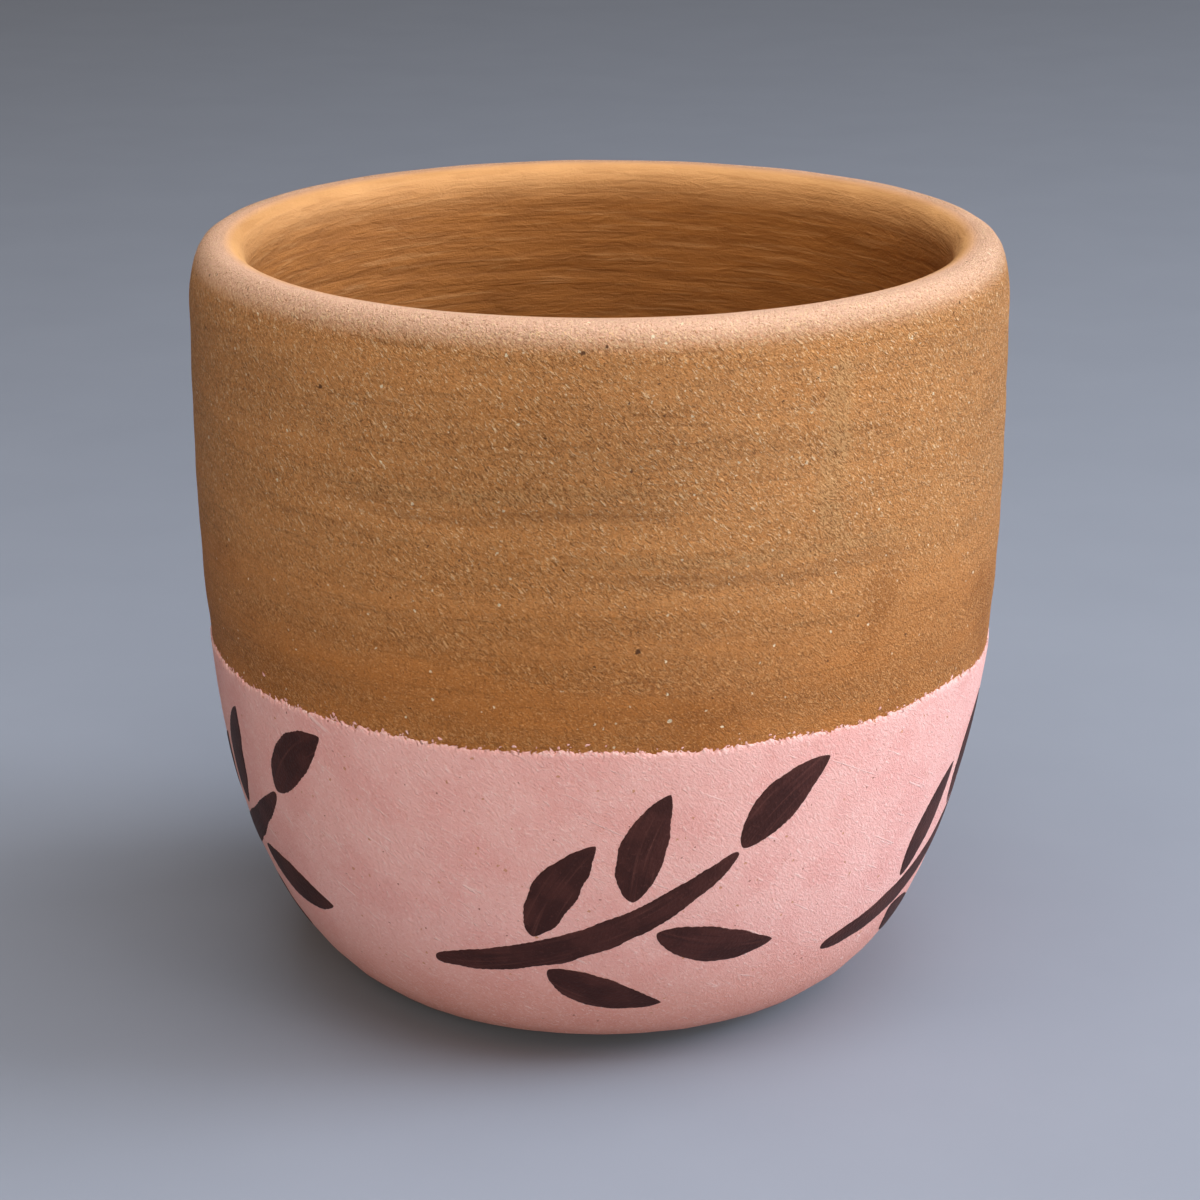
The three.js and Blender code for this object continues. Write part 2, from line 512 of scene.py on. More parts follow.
def add_marks(
    tree: NodeTree, place: Pattern, width: float, length: float, slant: float | None = None, bend: float = 0
) -> Pattern:
    """Adds a noise of drawn-out marks on the wall of the cup.

    Level marks are a noise squeezed in height. For slanting ones the place is first turned round the axis
    by an angle that grows with the height, so that upright lines become screw lines, and the noise is drawn
    out in height.

    Args:
        tree: the material's node tree.
        place: Object coordinates.
        width: how wide a mark is, in millimetres.
        length: how long it is, in millimetres.
        slant: radians of turn for each metre up, to the left where it is positive, or None for level marks.
        bend: how far the marks are bent out of their line, in their own sizes.

    Returns:
        The noise.
    """
    stretch, size = length / width, length
    if slant is not None:
        height = add_node(tree, "SeparateXYZ", {"Vector": place}).outputs["Z"]
        turn = add_node(tree, "Math", {0: height, 1: slant}, operation="MULTIPLY")
        place = add_node(tree, "VectorRotate", {"Vector": place, "Angle": turn}, rotation_type="Z_AXIS")
        stretch, size = width / length, width
    drawn = add_node(tree, "Mapping", {"Vector": place, "Scale": (1, 1, stretch)})
    shape = {"Scale": per(size), "Detail": 2, "Roughness": 0.55, "Distortion": bend}
    return add_node(tree, "TexNoise", {"Vector": drawn, **shape})


def add_ragged(tree: NodeTree, place: Pattern, size: float, reach: float) -> Pattern:
    """Adds nodes that push a place about by a noise, so that round shapes get ragged outlines.

    Args:
        tree: the material's node tree.
        place: Object coordinates.
        size: how wide one lump of the noise is, in millimetres.
        reach: how far it pushes at most along each axis, in millimetres.

    Returns:
        The pushed place, half the reach off on average.
    """
    push = add_node(tree, "TexNoise", {"Vector": place, "Scale": per(size), "Detail": 1}).outputs["Color"]
    return add_node(tree, "VectorMath", {0: push, 1: (reach * MM,) * 3, 2: place}, operation="MULTIPLY_ADD")


def add_grains(tree: NodeTree, place: Pattern, spacing: float) -> tuple[Pattern, Pattern]:
    """Adds scattered grains of uneven outline.

    Args:
        tree: the material's node tree.
        place: Object coordinates.
        spacing: how far apart the grains lie, in millimetres.

    Returns:
        The distance to the nearest grain, in spacings, and a number from 0 to 1 for each grain.
    """
    ragged = add_ragged(tree, place, size=0.3, reach=0.45)
    cells = add_node(tree, "TexVoronoi", {"Vector": ragged, "Scale": per(spacing)})
    return cells.outputs["Distance"], cells.outputs["Color"]


def add_spots(tree: NodeTree, place: Pattern, spots: Array) -> Pattern:
    """Adds single spots of uneven outline.

    Args:
        tree: the material's node tree.
        place: Object coordinates.
        spots: for each spot its x, y and z and its half width, in millimetres.

    Returns:
        The distance to the nearest spot's middle, in its half widths.
    """
    reach = 0.5
    ragged = add_ragged(tree, place, size=0.5, reach=reach)
    nearest = FAR_AWAY
    for *middle, half in spots:
        centre = tuple((np.array(middle) + reach / 2) * MM)
        away = add_node(tree, "VectorMath", {0: ragged, 1: centre}, operation="DISTANCE").outputs["Value"]
        share = add_node(tree, "Math", {0: away, 1: half * MM}, operation="DIVIDE")
        nearest = add_node(tree, "Math", {0: share, 1: nearest}, operation="MINIMUM")
    return nearest


class Finish(ABC):
    """A fired surface: a ground colour, with tints and reliefs laid on it by named patterns."""

    name: str
    ground: str
    roughness: float
    specular: float
    gloss: str  # the pattern that the roughness follows
    gloss_spread: float = 0.1  # how far the roughness goes either way

    @abstractmethod
    def patterns(self, tree: NodeTree) -> dict[str, Pattern]:
        """Adds the patterns that the tints and reliefs use."""

    @abstractmethod
    def tints(self) -> tuple[Tint, ...]:
        """Gives the colours over the ground, from the lowest to the topmost."""

    @abstractmethod
    def reliefs(self) -> tuple[Relief, ...]:
        """Gives the heights that are added up."""

    def material(self) -> Material:
        """Lays the tints on the ground and adds up the reliefs.

        Returns:
            The finished material.
        """
        material = bpy.data.materials.new(self.name)
        material.use_nodes = True
        tree = material.node_tree
        shader = tree.nodes["Principled BSDF"]
        patterns = self.patterns(tree)
        colour = linear(self.ground)
        for tint in self.tints():
            mask = add_mask(tree, patterns, tint.where, tint.most)
            layers = {"Factor": mask, "A": colour, "B": linear(tint.colour)}
            colour = add_node(tree, "Mix", layers, data_type="RGBA")
        rise = 0.0
        for relief in self.reliefs():
            strength = add_mask(tree, patterns, relief.where, relief.height * MM)
            centred = {0: patterns[relief.pattern], 1: PATTERN_MIDDLE}
            level = add_node(tree, "Math", centred, operation="SUBTRACT")
            rise = add_node(tree, "Math", {0: level, 1: strength, 2: rise}, operation="MULTIPLY_ADD")
        bump = add_node(tree, "Bump", {"Height": rise, "Distance": 1.0})
        smoothest, dullest = self.roughness - self.gloss_spread, self.roughness + self.gloss_spread
        spread = {"Value": patterns[self.gloss], "To Min": smoothest, "To Max": dullest}
        dull = add_node(tree, "MapRange", spread)
        tree.links.new(colour.outputs["Result"], shader.inputs["Base Color"])
        tree.links.new(dull.outputs["Result"], shader.inputs["Roughness"])
        tree.links.new(bump.outputs["Normal"], shader.inputs["Normal"])
        shader.inputs["Specular IOR Level"].default_value = self.specular
        return material


@dataclass(frozen=True)
class FiredEarthenware(Finish):
    """Unglazed earthenware, wiped while wet and fired.

    To the eye: matt ochre brown in soft level bands, rough and smooth by turns, with a gritty grain of
    short slanting marks, cream specks and dark pits, a pale peach tint on the lip where the slurry was
    smoothed, partly a painted sheen that is stronger in front, and a warmer honey brown inside, wiped in
    long level lines, paler near the mouth with painted light and darker lower down with painted shade.
    """

    name: str = "fired_earthenware"
    ground: str = "#d38d4b"
    roughness: float = 0.74
    specular: float = 0.35
    gloss: str = "grain"
    ochre: str = "#d69252"
    low: str = "#b3681f"
    rust: str = "#a8621c"
    pale_honey: str = "#c8955f"
    honey: str = "#a96d31"
    deep_honey: str = "#8a5521"
    # The lip's peach tint: partly the clay's own colour, partly a painted sheen
    peach_and_sheen: str = "#f4c9b2"
    gold: str = "#ebb274"
    cream: str = "#fde8c4"
    dark: str = "#744317"
    pit: str = "#633813"
    slant: float = 18.0  # radians of turn for each metre up
    pocks: Array = ()
    chips: Array = ()

    def patterns(self, tree: NodeTree) -> dict[str, Pattern]:
        """Adds the bands, marks, grain, specks and pits, with their sizes in millimetres.

        Real grit is finer than a tenth of a millimetre, so the grain is drawn coarser here, to show.

        Args:
            tree: the material's node tree.

        Returns:
            The patterns by name, with the height in metres and the marks that the mesh carries.
        """
        place = add_node(tree, "TexCoord").outputs["Object"]
        specks, speck_luck = add_grains(tree, place, spacing=1.5)
        pits, pit_luck = add_grains(tree, place, spacing=1.7)
        patterns = {
            "height": add_node(tree, "SeparateXYZ", {"Vector": place}).outputs["Z"],
            "bands": add_marks(tree, place, width=1.9, length=32),
            "zones": add_marks(tree, place, width=3.8, length=30),
            "wipes": add_marks(tree, place, width=0.85, length=9, bend=0.7),
            "lines": add_marks(tree, place, width=0.5, length=9, bend=0.6),
            "marks": add_marks(tree, place, width=0.26, length=0.42, slant=self.slant, bend=1.2),
            "lumps": add_marks(tree, place, width=1.1, length=3.0, bend=1.2),
            "clouds": add_node(tree, "TexNoise", {"Vector": place, "Scale": per(13), "Detail": 2}),
            "grain": add_marks(tree, place, width=0.2, length=0.26, bend=0.8),
            "specks": specks,
            "speck_luck": speck_luck,
            "pits": pits,
            "pit_luck": pit_luck,
            "pocks": add_spots(tree, place, self.pocks),
            "chips": add_spots(tree, place, self.chips),
        }
        for mark in ("lip", "inside", "mouth", "scuff", "ridge"):
            patterns[mark] = add_node(tree, "Attribute", attribute_name=mark).outputs["Fac"]
        return patterns

    def tints(self) -> tuple[Tint, ...]:
        """Gives the colours of the clay, then those of the lip and the inside, then the grain."""
        rough = ("zones", 0.36, 0.62)
        outside = ("inside", 0.5, 0.1)
        lit_near_mouth = ("mouth", 0, 1)
        bare = ("lip", 0.6, 0.15)
        sandy = ("lip", 1.1, 0.5)
        return (
            Tint(self.ochre, 1.0, (("bands", 0.3, 0.7),)),
            Tint(self.low, 0.6, (("height", 62 * MM, 43 * MM),)),
            Tint(self.rust, 0.6, (("clouds", 0.56, 0.72), ("height", 66 * MM, 50 * MM))),
            Tint(self.deep_honey, 1.0, (WITHIN,)),
            Tint(self.honey, 0.65, (WITHIN, ("wipes", 0.26, 0.72))),
            # Paler honey and gold near the mouth over deeper honey: partly the clay's own colour, partly
            # painted light near the rim and painted shade deeper in the hollow
            Tint(self.pale_honey, 0.8, (WITHIN, lit_near_mouth)),
            Tint(self.gold, 0.3, (lit_near_mouth, WITHIN, ("clouds", 0.4, 0.66))),
            Tint(self.deep_honey, 0.2, (WITHIN, ("lines", 0.46, 0.34))),
            Tint(self.pale_honey, 0.25, (WITHIN, ("lines", 0.55, 0.68))),
            # The lip's peach tint, partly its own colour and partly a painted sheen that the lip mark makes
            # stronger in front
            Tint(self.peach_and_sheen, 0.7, (("lip", 0.12, 0.9),)),
            Tint(self.peach_and_sheen, 0.75, (("lip", 0.03, 0.6), ("marks", 0.44, 0.6), outside)),
            Tint(self.dark, 0.3, (("marks", 0.45, 0.36), rough, outside, bare)),
            Tint(self.dark, 0.35, (("marks", 0.43, 0.33), outside, bare)),
            Tint(self.gold, 0.75, (("marks", 0.55, 0.64), rough, outside, sandy)),
            Tint(self.gold, 0.65, (("marks", 0.54, 0.6), UPPER_WALL, outside, sandy)),
            Tint(self.cream, 0.6, (("marks", 0.62, 0.67), UPPER_WALL, outside)),
            Tint(self.dark, 0.25, (("marks", 0.4, 0.35), UPPER_WALL, outside, bare)),
            # Painted shade: the groove under each throwing ridge is darkened
            Tint(self.dark, 0.3, (("ridge", -0.2, -0.9),)),
            Tint(self.gold, 0.8, (("ridge", 0.15, 0.8), ("marks", 0.48, 0.58))),
            Tint(self.dark, 0.38, (("grain", 0.42, 0.34), outside, bare)),
            Tint(self.rust, 0.35, (("grain", 0.4, 0.3), outside)),
            Tint(self.gold, 0.55, (("grain", 0.57, 0.66), outside)),
            Tint(self.dark, 0.2, (("lines", 0.42, 0.33), outside, bare)),
            Tint(self.rust, 0.45, (("grain", 0.41, 0.36), ("lip", 0.2, 0.6), outside)),
            Tint(self.cream, 0.4, (("grain", 0.58, 0.64), ("lip", 0.2, 0.6), outside)),
            Tint(self.gold, 0.95, (("scuff", 0, 0.8), ("marks", 0.46, 0.56))),
            Tint(self.cream, 0.8, (("specks", 0.1, 0.06), ("speck_luck", 0.4, 0.46), outside)),
            Tint(self.cream, 1.0, (("specks", 0.12, 0.09), ("speck_luck", 0.74, 0.76), outside)),
            Tint(self.pit, 0.6, (("pits", 0.07, 0.04), ("pit_luck", 0.5, 0.53), outside)),
            Tint(self.pit, 0.85, (("pits", 0.1, 0.07), ("pit_luck", 0.76, 0.78), outside)),
            Tint(self.pit, 0.95, (("pocks", 1.1, 0.6),)),
            Tint(self.cream, 0.9, (("chips", 1.1, 0.7),)),
        )

    def reliefs(self) -> tuple[Relief, ...]:
        """Gives the grit, the marks, the bands and the wiped lines."""
        rough = ("zones", 0.2, 0.7)
        outside = ("inside", 0.8, 0.1)
        bare = ("lip", 1.2, 0.2)
        return (
            Relief(0.07, "grain"),
            Relief(0.2, "grain", (outside,)),
            Relief(0.32, "marks", (outside,)),
            Relief(0.45, "marks", (rough, outside, bare)),
            Relief(0.26, "marks", (UPPER_WALL, outside, bare)),
            Relief(0.4, "marks", (("ridge", 0.1, 0.8),)),
            Relief(0.4, "marks", (("scuff", 0.1, 0.8),)),
            Relief(0.08, "lines"),
            Relief(0.12, "wipes", (WITHIN,)),
            Relief(0.16, "lumps", (WITHIN,)),
        )


@dataclass(frozen=True)
class PinkSlip(Finish):
    """Clay slip stained pink, brushed on and fired without a glaze.

    To the eye: a chalky matt pink with short slanting brush hairs and a few longer ridges, small rust
    specks from the clay below, paler crumbs at the edge, and a painted browner shade towards the foot,
    under the belly.
    """

    name: str = "brushed_pink_slip"
    ground: str = "#f3b9b3"
    roughness: float = 0.7
    specular: float = 0.35
    gloss: str = "clouds"
    shade: str = "#eaa39d"
    # Browner pink of thin slip in the hairs and grain, also laid as painted shade towards the foot
    thin: str = "#d98b73"
    pale: str = "#ffe3dd"
    rust: str = "#8a4630"
    tan: str = "#cb8a62"
    slant: float = 18.0  # radians of turn for each metre up
    ridge_slant: float = 45.0  # the same for the longer ridges

    def patterns(self, tree: NodeTree) -> dict[str, Pattern]:
        """Adds the clouds, hairs, ridges, grain and specks, with their sizes in millimetres.

        The furrow of one brush hair is finer than this, so hairs and grain are drawn coarser here, to show.

        Args:
            tree: the material's node tree.

        Returns:
            The patterns by name, with the height in metres and the mark that the mesh carries.
        """
        place = add_node(tree, "TexCoord").outputs["Object"]
        specks, speck_luck = add_grains(tree, place, spacing=1.5)
        return {
            "height": add_node(tree, "SeparateXYZ", {"Vector": place}).outputs["Z"],
            "clouds": add_node(tree, "TexNoise", {"Vector": place, "Scale": per(6), "Detail": 3}),
            "hairs": add_marks(tree, place, width=0.27, length=0.5, slant=self.slant, bend=1.0),
            "ridges": add_marks(tree, place, width=0.9, length=7, slant=self.ridge_slant, bend=0.6),
            "grain": add_marks(tree, place, width=0.24, length=0.3, bend=0.8),
            "specks": specks,
            "speck_luck": speck_luck,
            "edge": add_node(tree, "Attribute", attribute_name="edge").outputs["Fac"],
        }

    def tints(self) -> tuple[Tint, ...]:
        """Gives the shades of the slip, then its hairs, grain and specks."""
        return (
            Tint(self.shade, 0.5, (("clouds", 0.6, 0.36),)),
            # Painted shade: browner towards the foot, under the belly
            Tint(self.thin, 0.6, (("height", 20 * MM, 3 * MM),)),
            Tint(self.pale, 0.5, (("hairs", 0.54, 0.74),)),
            Tint(self.thin, 0.35, (("hairs", 0.44, 0.26),)),
            Tint(self.pale, 0.35, (("grain", 0.57, 0.74),)),
            Tint(self.thin, 0.3, (("grain", 0.42, 0.27),)),
            Tint(self.pale, 0.45, (("ridges", 0.66, 0.72),)),
            Tint(self.pale, 0.45, (("edge", 0, 1), ("hairs", 0.45, 0.6))),
            Tint(self.rust, 0.85, (("specks", 0.09, 0.05), ("speck_luck", 0.55, 0.58))),
            Tint(self.tan, 0.8, (("specks", 0.14, 0.08), ("speck_luck", 0.4, 0.38))),
        )

    def reliefs(self) -> tuple[Relief, ...]:
        """Gives the hairs, the grain and the longer ridges."""
        return (
            Relief(0.17, "hairs"),
            Relief(0.15, "grain"),
            Relief(0.25, "ridges", (("ridges", 0.64, 0.74),)),
        )


@dataclass(frozen=True)
class DarkSlip(Finish):
    """Iron-dark slip laid on with a round hair brush.

    To the eye: a semi-matt maroon brown, a little lighter and darker along the stroke where the bristles
    parted, and a few worn lines through which the pink shows.
    """

    name: str = "dark_brush_slip"
    ground: str = "#46231f"
    roughness: float = 0.6
    specular: float = 0.22
    gloss: str = "streaks"
    shade: str = "#331613"
    thin: str = "#5d3631"
    worn: str = "#9a655c"
    bristle: float = 0.35  # millimetres, coarser than a real hair, so that it shows
    streak: float = 9.0  # millimetres
    grain: float = 0.35  # millimetres
    cloud: float = 4.0  # millimetres

    def patterns(self, tree: NodeTree) -> dict[str, Pattern]:
        """Adds streaks that follow the brush, and grain.

        Args:
            tree: the material's node tree.

        Returns:
            The patterns by name.
        """
        place = add_node(tree, "TexCoord").outputs["Object"]
        brush = add_node(tree, "Attribute", attribute_name="brush").outputs["Vector"]
        drawn = add_node(tree, "Mapping", {"Vector": brush, "Scale": (1, self.bristle / self.streak, 1)})
        sources = {"streaks": drawn, "clouds": place, "grain": place}
        sizes = {"streaks": self.bristle, "clouds": self.cloud, "grain": self.grain}
        return {
            name: add_node(tree, "TexNoise", {"Vector": source, "Scale": per(sizes[name]), "Detail": 2})
            for name, source in sources.items()
        }

    def tints(self) -> tuple[Tint, ...]:
        """Gives the darker and the thinner paint, then the worn lines."""
        return (
            Tint(self.shade, 0.7, (("clouds", 0.62, 0.4),)),
            Tint(self.shade, 0.6, (("streaks", 0.46, 0.3),)),
            Tint(self.thin, 0.5, (("streaks", 0.54, 0.72),)),
            Tint(self.thin, 0.4, (("grain", 0.58, 0.74),)),
            Tint(self.worn, 0.7, (("streaks", 0.7, 0.78), ("grain", 0.45, 0.62))),
        )

    def reliefs(self) -> tuple[Relief, ...]:
        """Gives the furrows of the bristles and the grain of the slip below."""
        return (Relief(0.03, "streaks"), Relief(0.09, "grain"))


@dataclass(frozen=True)
class ClayBody:
    """The thrown body: foot, belly, wall, lip and the hollow inside, in millimetres."""

    wall: Wall
    finish: FiredEarthenware
    columns: int = 380
    spacings: tuple[float, ...] = (1.0, 1.1, 0.9, 0.45, 0.45, 0.8, 1.2)  # of rings, for each stretch
    # Where marks start and are full, along the outline and past the crest of the lip
    inside_zone: Span = (-0.5, 3.0)
    # The mouth mark lays painted light near the rim of the inside, falling to painted shade deeper down
    mouth_light_zone: Span = (10.0, 0.0)
    lip_outside: Span = (-5.5, -0.7)
    lip_inside: Span = (3.4, 0.3)
    # The same, past the edge of the foot
    foot_zone: Span = (-1.0, -3.0)
    wall_zone: Span = (0.0, 8.0)
    floor_zone: Span = (4.0, 16.0)  # the same, from the middle of the floor
    lip_tint_and_sheen: float = 0.7
    lip_sheen_front: float = 0.16  # how much stronger the lip's peach tint and its painted sheen are in front and weaker behind
    ring_depth: float = 0.03
    finger_depth: float = 0.018
    wipe_depth: float = 0.02
    lip_lumps: float = 0.025
    wire_depth: float = 0.06
    wire_spacing: float = 3.1
    wire_bow: float = 60.0  # how far off the middle of the wire's arcs lies
    groove_depth: float = 0.07  # under each throwing ridge
    ridge_width: float = 1.3
    ridge_drift: float = 0.35
    ridges: Triples = (
        (66.9, -103, 26),
        (59.7, -68, 28),
        (70.5, 15, 30),
        (63.5, 75, 34),
        (56.0, 150, 36),
    )  # height, and the middle and half length round the cup in degrees
    scuff_angle: float = 302.0  # degrees
    scuff_width: float = 1.5
    scuff_wander: float = 0.5  # of its width
    scuff_foot: Span = (60.0, 64.0)  # heights where it starts and is full
    scuff_head: Span = (83.0, 78.0)

    def stations(self) -> Array:
        """Spreads rings along the outline, closest where the eye sees most.

        Returns:
            The lengths along the outline at which rings stand.
        """
        start = 0.0
        lengths = []
        for points, spacing in zip(self.wall.stretches.values(), self.spacings):
            length = Profile(points).arc[-1]
            steps = max(2, round(length / spacing))
            lengths.append(start + length * (np.arange(steps) + 0.5) / steps)
            start += length
        return np.concatenate(lengths)

    def throwing_ridges(self, angle: Array, height: Array) -> Array:
        """Gives the ridges that the potter's fingers left.

        Each is the slope of a bell across its drifting level, as t times e to the power of minus t squared,
        and fades out along its length as e to the power of minus t to the fourth.

        Args:
            angle: angles round the cup.
            height: heights above the table.

        Returns:
            Numbers from -1 in the groove under a ridge to 1 on it, for each height and angle.
        """
        drift = self.ridge_drift * Waves(seed=16, turns=(2, 9), lengths=(200, 400)).at(angle, 0)
        ridge = np.zeros_like(height + angle)
        for level, middle, reach in self.ridges:
            above = (height + drift - level) / self.ridge_width
            beside = np.degrees(np.angle(np.exp(1j * (angle - math.radians(middle))))) / reach
            ridge += above * np.exp(0.5 - above**2 - beside**4) * math.sqrt(2)
        return ridge

    def build(self) -> Object:
        """Turns the outline round the axis and gives it the marks of throwing and wiping.

        Each ring stands at a length along the outline, and each point on it is moved square to the outline
        by sums of waves: rings and grooves outside, finger grooves and wiped lines inside, lumps on the
        lip, and arcs of the cutting wire under the foot.

        Returns:
            The body.
        """
        wall = self.wall
        arc = self.stations()[:, None]
        angle = turn_round(self.columns)[None, :]
        crest = sum(Profile(wall.stretches[name]).arc[-1] for name in ("foot", "belly", "shoulder"))
        past = arc - crest
        inside = smooth(past, *self.inside_zone)
        # The inside is painted paler near the mouth, with painted light, and darker deeper down, with painted
        # shade
        mouth = smooth(past, *self.mouth_light_zone)
        # The lip's peach tint with its painted sheen, stronger in front and weaker behind
        peach_and_sheen = self.lip_tint_and_sheen - self.lip_sheen_front * np.sin(angle)
        lip = smooth(past, *self.lip_outside) * smooth(past, *self.lip_inside) * peach_and_sheen
        _, height = wall.outline.at(arc)
        on_foot = smooth(arc - wall.foot_radius, *self.foot_zone)
        outside = smooth(arc - wall.foot_radius, *self.wall_zone) * (1 - inside)
        off_floor = smooth(arc.max() - arc, *self.floor_zone)
        ridge = self.throwing_ridges(angle, height) * (1 - inside)

        rings = Waves(seed=11, turns=(0, 2), lengths=(5, 13)).dents(angle, height)
        fingers = Waves(seed=12, turns=(0, 3), lengths=(6, 10)).at(angle, arc)
        wipes = Waves(seed=13, turns=(1, 7), lengths=(1.6, 3.4), count=40).at(angle, arc)
        lumps = Waves(seed=14, turns=(3, 26), lengths=(6, 20)).dents(angle, arc)
        wire = np.hypot(arc * np.cos(angle), arc * np.sin(angle) + self.wire_bow)
        out = outside * (self.ring_depth * rings + self.groove_depth * np.minimum(ridge, 0))
        out = out + inside * off_floor * (self.finger_depth * fingers + self.wipe_depth * wipes)
        out = out + lip * self.lip_lumps * lumps
        out = out - on_foot * self.wire_depth * (1 + np.sin(TAU * wire / self.wire_spacing))
        radius, height = wall.outline.at(arc + 0 * angle, out)

        wander = self.scuff_wander * Waves(seed=15, turns=(0, 0), lengths=(6, 25)).at(0, height)
        beside = (angle - math.radians(self.scuff_angle)) * wall.widest_radius / self.scuff_width
        scuff = np.exp(-((beside + wander) ** 2)) * (1 - inside)
        scuff = scuff * smooth(height, *self.scuff_foot) * smooth(height, *self.scuff_head)
        marks = {"lip": lip, "ridge": ridge, "scuff": scuff}
        marks |= {"inside": inside + 0 * angle, "mouth": mouth + 0 * angle}
        return ring_mesh("body_fired_clay", wall.by_hand(radius, angle, height), Ends.POLES, marks)

    def dress(self, piece: Object) -> None:
        """Gives the body its fired clay and lets it stand for the CAD body."""
        show(piece, self.finish.material(), Slot.FIRED_CLAY, "clay_body")


@dataclass(frozen=True)
class SlipCoat:
    """The brushed coat of pink slip on the lower half, and the crumbs along its edge, in millimetres."""

    wall: Wall
    finish: PinkSlip
    columns: int = 3200
    thickness: float = 0.16
    sunk: float = 0.1  # how far its back lies under the face of the clay
    thin_share: float = 0.35  # how much of its thickness is left at its edges
    furrow: float = 0.015
    tooth_depth: float = 0.085
    nib_depth: float = 0.08
    side_nib: float = 0.12
    waviness: float = 0.12
    ragged_zone: float = 2.5
    nib_zone: float = 0.8
    top_taper: Span = (0.1, -0.5)  # from the slip line, where it is thinnest and where it is full
    foot_taper: Span = (-0.2, 1.5)  # the same from its lower edge
    plain_rings: int = 14
    ragged_rings: int = 9
    back_step: int = 6  # rings of the face for each ring of the back
    crumbs: int = 560
    crumb_size: Span = (0.05, 0.17)
    crumb_stretch: Span = (0.8, 1.9)
    crumb_reach: float = 0.24  # how far up crumbs lie on average
    crumb_overlap: float = 0.12  # how far below the edge they start
    crumb_rings: tuple[float, ...] = (0.02, 0.5, 0.9)  # shares of the way up the dome
    crumb_sides: int = 9
    crumb_lumps: Span = (0.3, 0.25)
    crumb_height: float = 0.4  # of its half width
    crumb_sunk: float = 0.02

    def edge(self, angle: Array) -> Array:
        """Gives how far the coat reaches above the slip line: slow waves, and teeth left by the hairs.

        Args:
            angle: angles round the cup.

        Returns:
            Distances up the wall.
        """
        slow = Waves(seed=21, turns=(2, 16), lengths=(50, 90)).at(angle, 0)
        teeth = Waves(seed=22, turns=(40, 260), lengths=(50, 90), count=40).at(angle, 0)
        nibs = Waves(seed=25, turns=(260, 700), lengths=(50, 90), count=60).at(angle, 0)
        return self.waviness * slow + self.tooth_depth * teeth + self.nib_depth * nibs

    def build(self) -> list[Object]:
        """Carries a thin closed section round the cup: up its face, over the ragged edge and down its back.

        Returns:
            The coat and its crumbs.
        """
        length = self.wall.band_length
        angle = turn_round(self.columns)[None, :]
        low = np.linspace(0, length - self.ragged_zone, self.plain_rings, endpoint=False)
        high = np.linspace(length - self.ragged_zone, length, self.ragged_rings)
        face = np.concatenate([low, high])[:, None]
        taper = smooth(face - length, *self.top_taper) * smooth(face, *self.foot_taper)
        brushed = Waves(seed=23, turns=(4, 60), lengths=(4, 18)).at(angle, face)
        full = self.thin_share + (1 - self.thin_share) * taper
        face_out = self.thickness * full + self.furrow * brushed * taper
        back = face[:: -self.back_step]
        arc = np.vstack([face, back])
        out = np.vstack([face_out, np.full((len(back), self.columns), -self.sunk)])
        crumbly = Waves(seed=26, turns=(150, 520), lengths=(0.6, 1.5), count=40).at(angle, arc)
        sideways = self.side_nib * crumbly * smooth(arc, length - self.nib_zone, length)
        arc = arc + self.edge(angle) * smooth(arc, length - self.ragged_zone, length)
        radius, height = self.wall.band.at(arc, out)
        angle = angle + sideways / radius
        edge = smooth(arc - length, *reversed(self.top_taper)) * np.ones_like(angle)
        points = self.wall.by_hand(radius, angle, height)
        coat = ring_mesh("coat_pink_slip", points, Ends.JOINED, {"edge": edge})
        return [coat, self.build_crumbs()]

    def build_crumbs(self) -> Object:
        """Scatters low domes of slip on the clay just above the edge.

        Each dome is a row of rings that narrow as a cosine while they rise as a sine, drawn out along a
        lean and made lumpy by two and three waves round it.

        Returns:
            The crumbs.
        """
        random = np.random.default_rng(seed=24)
        each = (self.crumbs, 1, 1)
        middle = random.uniform(0, TAU, each)
        size = random.uniform(*self.crumb_size, each)
        drop = random.exponential(self.crumb_reach, each) - self.crumb_overlap
        stretch = random.uniform(*self.crumb_stretch, each)
        lean = random.uniform(0, math.pi, each)
        rise = np.array(self.crumb_rings)[None, :, None] * TAU / 4
        turn = turn_round(self.crumb_sides)[None, None, :]
        phase = random.uniform(0, TAU, (2, *each))
        twos, threes = self.crumb_lumps
        lumps = twos * np.cos(2 * turn + phase[0]) + threes * np.cos(3 * turn + phase[1])
        lumpy = size * np.cos(rise) * (1 + lumps)
        along = stretch * lumpy * np.cos(turn)
        aside = lumpy * np.sin(turn)
        around = along * np.cos(lean) - aside * np.sin(lean)
        up = along * np.sin(lean) + aside * np.cos(lean)
        arc = self.wall.band_length + self.edge(middle) + drop + up
        radius, height = self.wall.band.at(arc, self.crumb_height * size * np.sin(rise) - self.crumb_sunk)
        points = self.wall.by_hand(radius, middle + around / radius, height)
        return ring_mesh("crumbs_pink_slip", points, Ends.POLES, {"edge": np.ones(points.shape[:3])})

    def dress(self, coat: Object, crumbs: Object) -> None:
        """Gives both their pink slip and lets the coat stand for the CAD coat.

        Args:
            coat: the coat.
            crumbs: the crumbs along its edge.
        """
        material = self.finish.material()
        show(coat, material, Slot.PINK_SLIP, "slip_coat")
        show(crumbs, material, Slot.PINK_SLIP)


